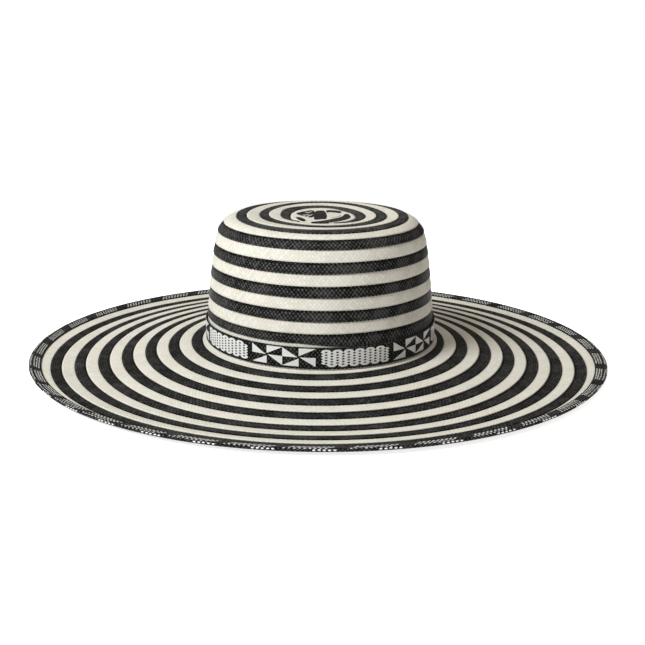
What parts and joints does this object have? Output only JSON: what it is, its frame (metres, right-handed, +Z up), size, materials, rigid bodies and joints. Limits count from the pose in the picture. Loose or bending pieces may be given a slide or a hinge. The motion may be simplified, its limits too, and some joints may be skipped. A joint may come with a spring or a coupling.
{
  "type": "vueltiao hat",
  "caption": "Wide-brimmed straw hat sewn from rows of black and cream plait, with an oval open-bottomed crown, a patterned band and an edging of patterned plait.",
  "frame": {"origin": "on the surface that the hat rests on, below the middle of the rim", "axes": "+Z up through the crown, -Y to the hat's front, +X to the right as seen from the front"},
  "size_m": [0.46, 0.46, 0.1153],
  "materials": {
    "cream_plait": "flat plait of bleached cane straw, fine diagonal weave, satin",
    "black_plait": "flat plait of straw dyed black, fine diagonal weave, slight gloss",
    "band_plait": "plait with white figures on black, in panels of pinwheels and dotted grids",
    "edge_plait": "black plait with rows of white dashes, sewn round the rim"
  },
  "bodies": {
    "root": {"crown_button": "black_plait", "crown_top": "cream_plait", "crown_side": "cream_plait", "hat_band": "band_plait", "brim": "cream_plait", "brim_edge": "edge_plait"}
  },
  "joints": []
}
